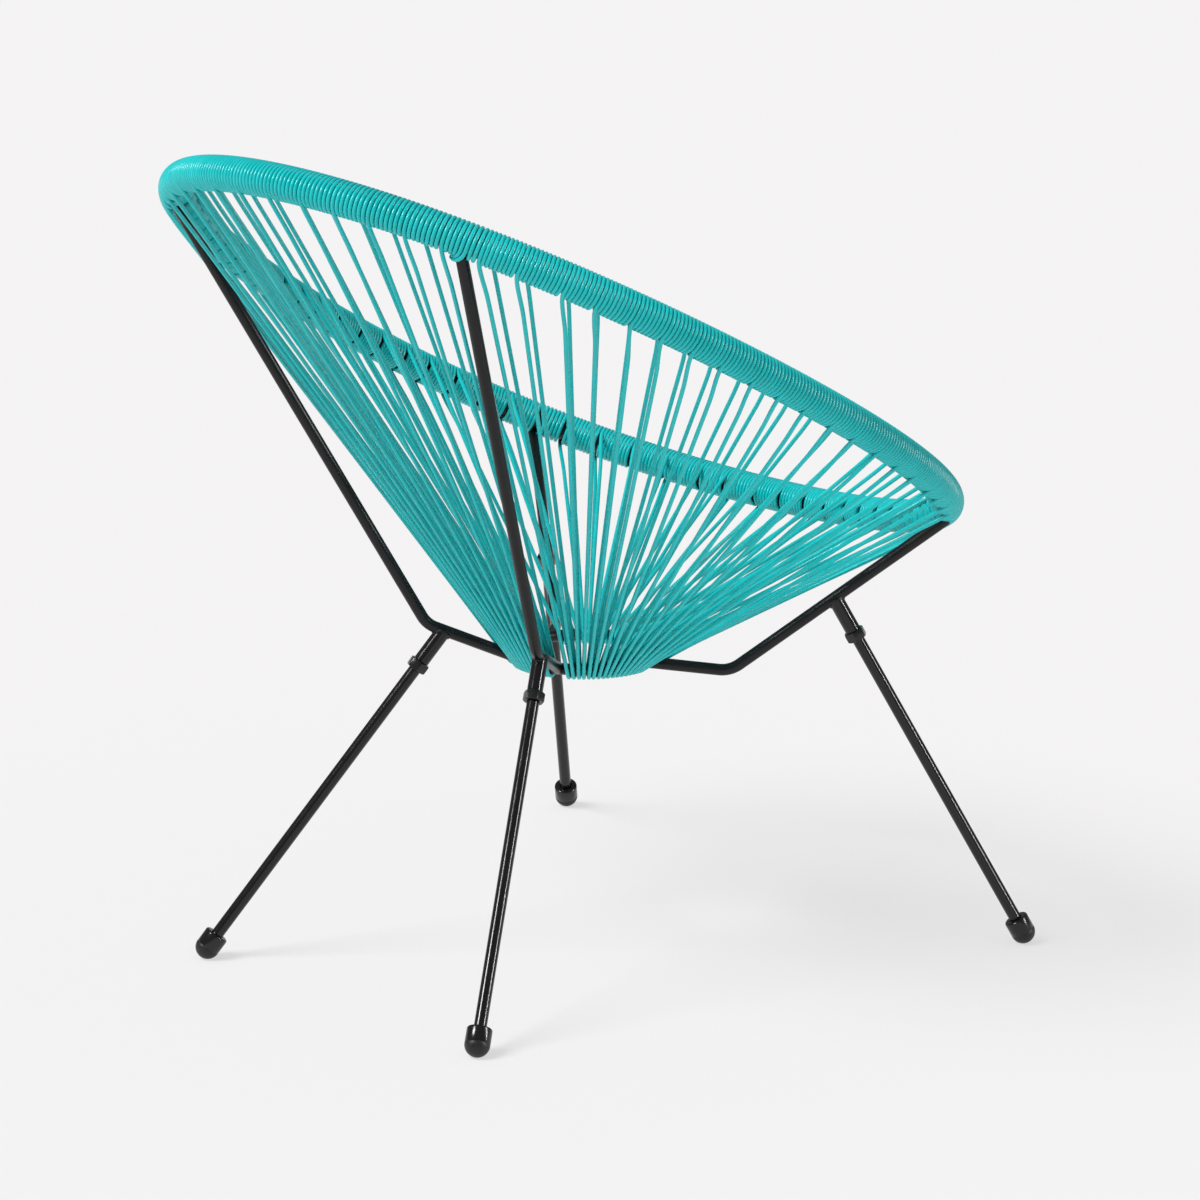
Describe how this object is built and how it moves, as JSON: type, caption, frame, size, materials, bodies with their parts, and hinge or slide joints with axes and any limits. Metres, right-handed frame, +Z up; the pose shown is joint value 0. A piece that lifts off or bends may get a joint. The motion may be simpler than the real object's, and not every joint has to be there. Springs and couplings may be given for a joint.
{
  "type": "acapulco chair",
  "caption": "Lounge chair with a leaning egg-shaped steel hoop strung with plastic cord to a small ring, on struts and splayed screw-in legs.",
  "frame": {"origin": "on the floor, under the middle of the hoop and of the overall box", "axes": "+Z up, -Y towards the front of the seat, +X towards the sitter's left hand"},
  "size_m": [0.7973, 0.7782, 0.8523],
  "materials": {
    "frame_steel": "black powder coat, satin to gloss",
    "nut_steel": "black, satin",
    "rubber": "black, satin sleeve and duller dome",
    "seat_cord": "turquoise, soft gloss"
  },
  "bodies": {
    "frame": {"hoop": "frame_steel", "bottom_ring": "frame_steel", "strut_rear_left": "frame_steel", "strut_front_left": "frame_steel", "strut_front_right": "frame_steel", "strut_rear_right": "frame_steel", "socket_rear_left": "frame_steel", "socket_front_left": "frame_steel", "socket_front_right": "frame_steel", "socket_rear_right": "frame_steel", "seat_cord_left": "seat_cord", "seat_cord_front": "seat_cord", "seat_cord_right": "seat_cord", "seat_cord_back": "seat_cord"},
    "leg_rear_left": {"leg_rear_left": "frame_steel", "foot_cap_rear_left": "rubber"},
    "lock_nut_rear_left": {"lock_nut_rear_left": "nut_steel"},
    "leg_front_left": {"leg_front_left": "frame_steel", "foot_cap_front_left": "rubber"},
    "lock_nut_front_left": {"lock_nut_front_left": "nut_steel"},
    "leg_front_right": {"leg_front_right": "frame_steel", "foot_cap_front_right": "rubber"},
    "lock_nut_front_right": {"lock_nut_front_right": "nut_steel"},
    "leg_rear_right": {"leg_rear_right": "frame_steel", "foot_cap_rear_right": "rubber"},
    "lock_nut_rear_right": {"lock_nut_rear_right": "nut_steel"}
  },
  "joints": [
    {"name": "leg_screw_rear_left", "type": "hinge", "parent": "frame", "child": "leg_rear_left", "pos_m": [0.07194, 0.07801, 0.33313], "axis": [0.3283, 0.5169, -0.7906], "continuous": true},
    {"name": "nut_screw_rear_left", "type": "hinge", "parent": "leg_rear_left", "child": "lock_nut_rear_left", "pos_m": [0.07194, 0.07801, 0.33313], "axis": [0.3283, 0.5169, -0.7906], "continuous": true},
    {"name": "leg_screw_front_left", "type": "hinge", "parent": "frame", "child": "leg_front_left", "pos_m": [0.21458, -0.19544, 0.37078], "axis": [0.3141, -0.3695, -0.8745], "continuous": true},
    {"name": "nut_screw_front_left", "type": "hinge", "parent": "leg_front_left", "child": "lock_nut_front_left", "pos_m": [0.21458, -0.19544, 0.37078], "axis": [0.3141, -0.3695, -0.8745], "continuous": true},
    {"name": "leg_screw_front_right", "type": "hinge", "parent": "frame", "child": "leg_front_right", "pos_m": [-0.21458, -0.19544, 0.37078], "axis": [-0.3141, -0.3695, -0.8745], "continuous": true},
    {"name": "nut_screw_front_right", "type": "hinge", "parent": "leg_front_right", "child": "lock_nut_front_right", "pos_m": [-0.21458, -0.19544, 0.37078], "axis": [-0.3141, -0.3695, -0.8745], "continuous": true},
    {"name": "leg_screw_rear_right", "type": "hinge", "parent": "frame", "child": "leg_rear_right", "pos_m": [-0.07194, 0.07801, 0.33313], "axis": [-0.3283, 0.5169, -0.7906], "continuous": true},
    {"name": "nut_screw_rear_right", "type": "hinge", "parent": "leg_rear_right", "child": "lock_nut_rear_right", "pos_m": [-0.07194, 0.07801, 0.33313], "axis": [-0.3283, 0.5169, -0.7906], "continuous": true}
  ]
}
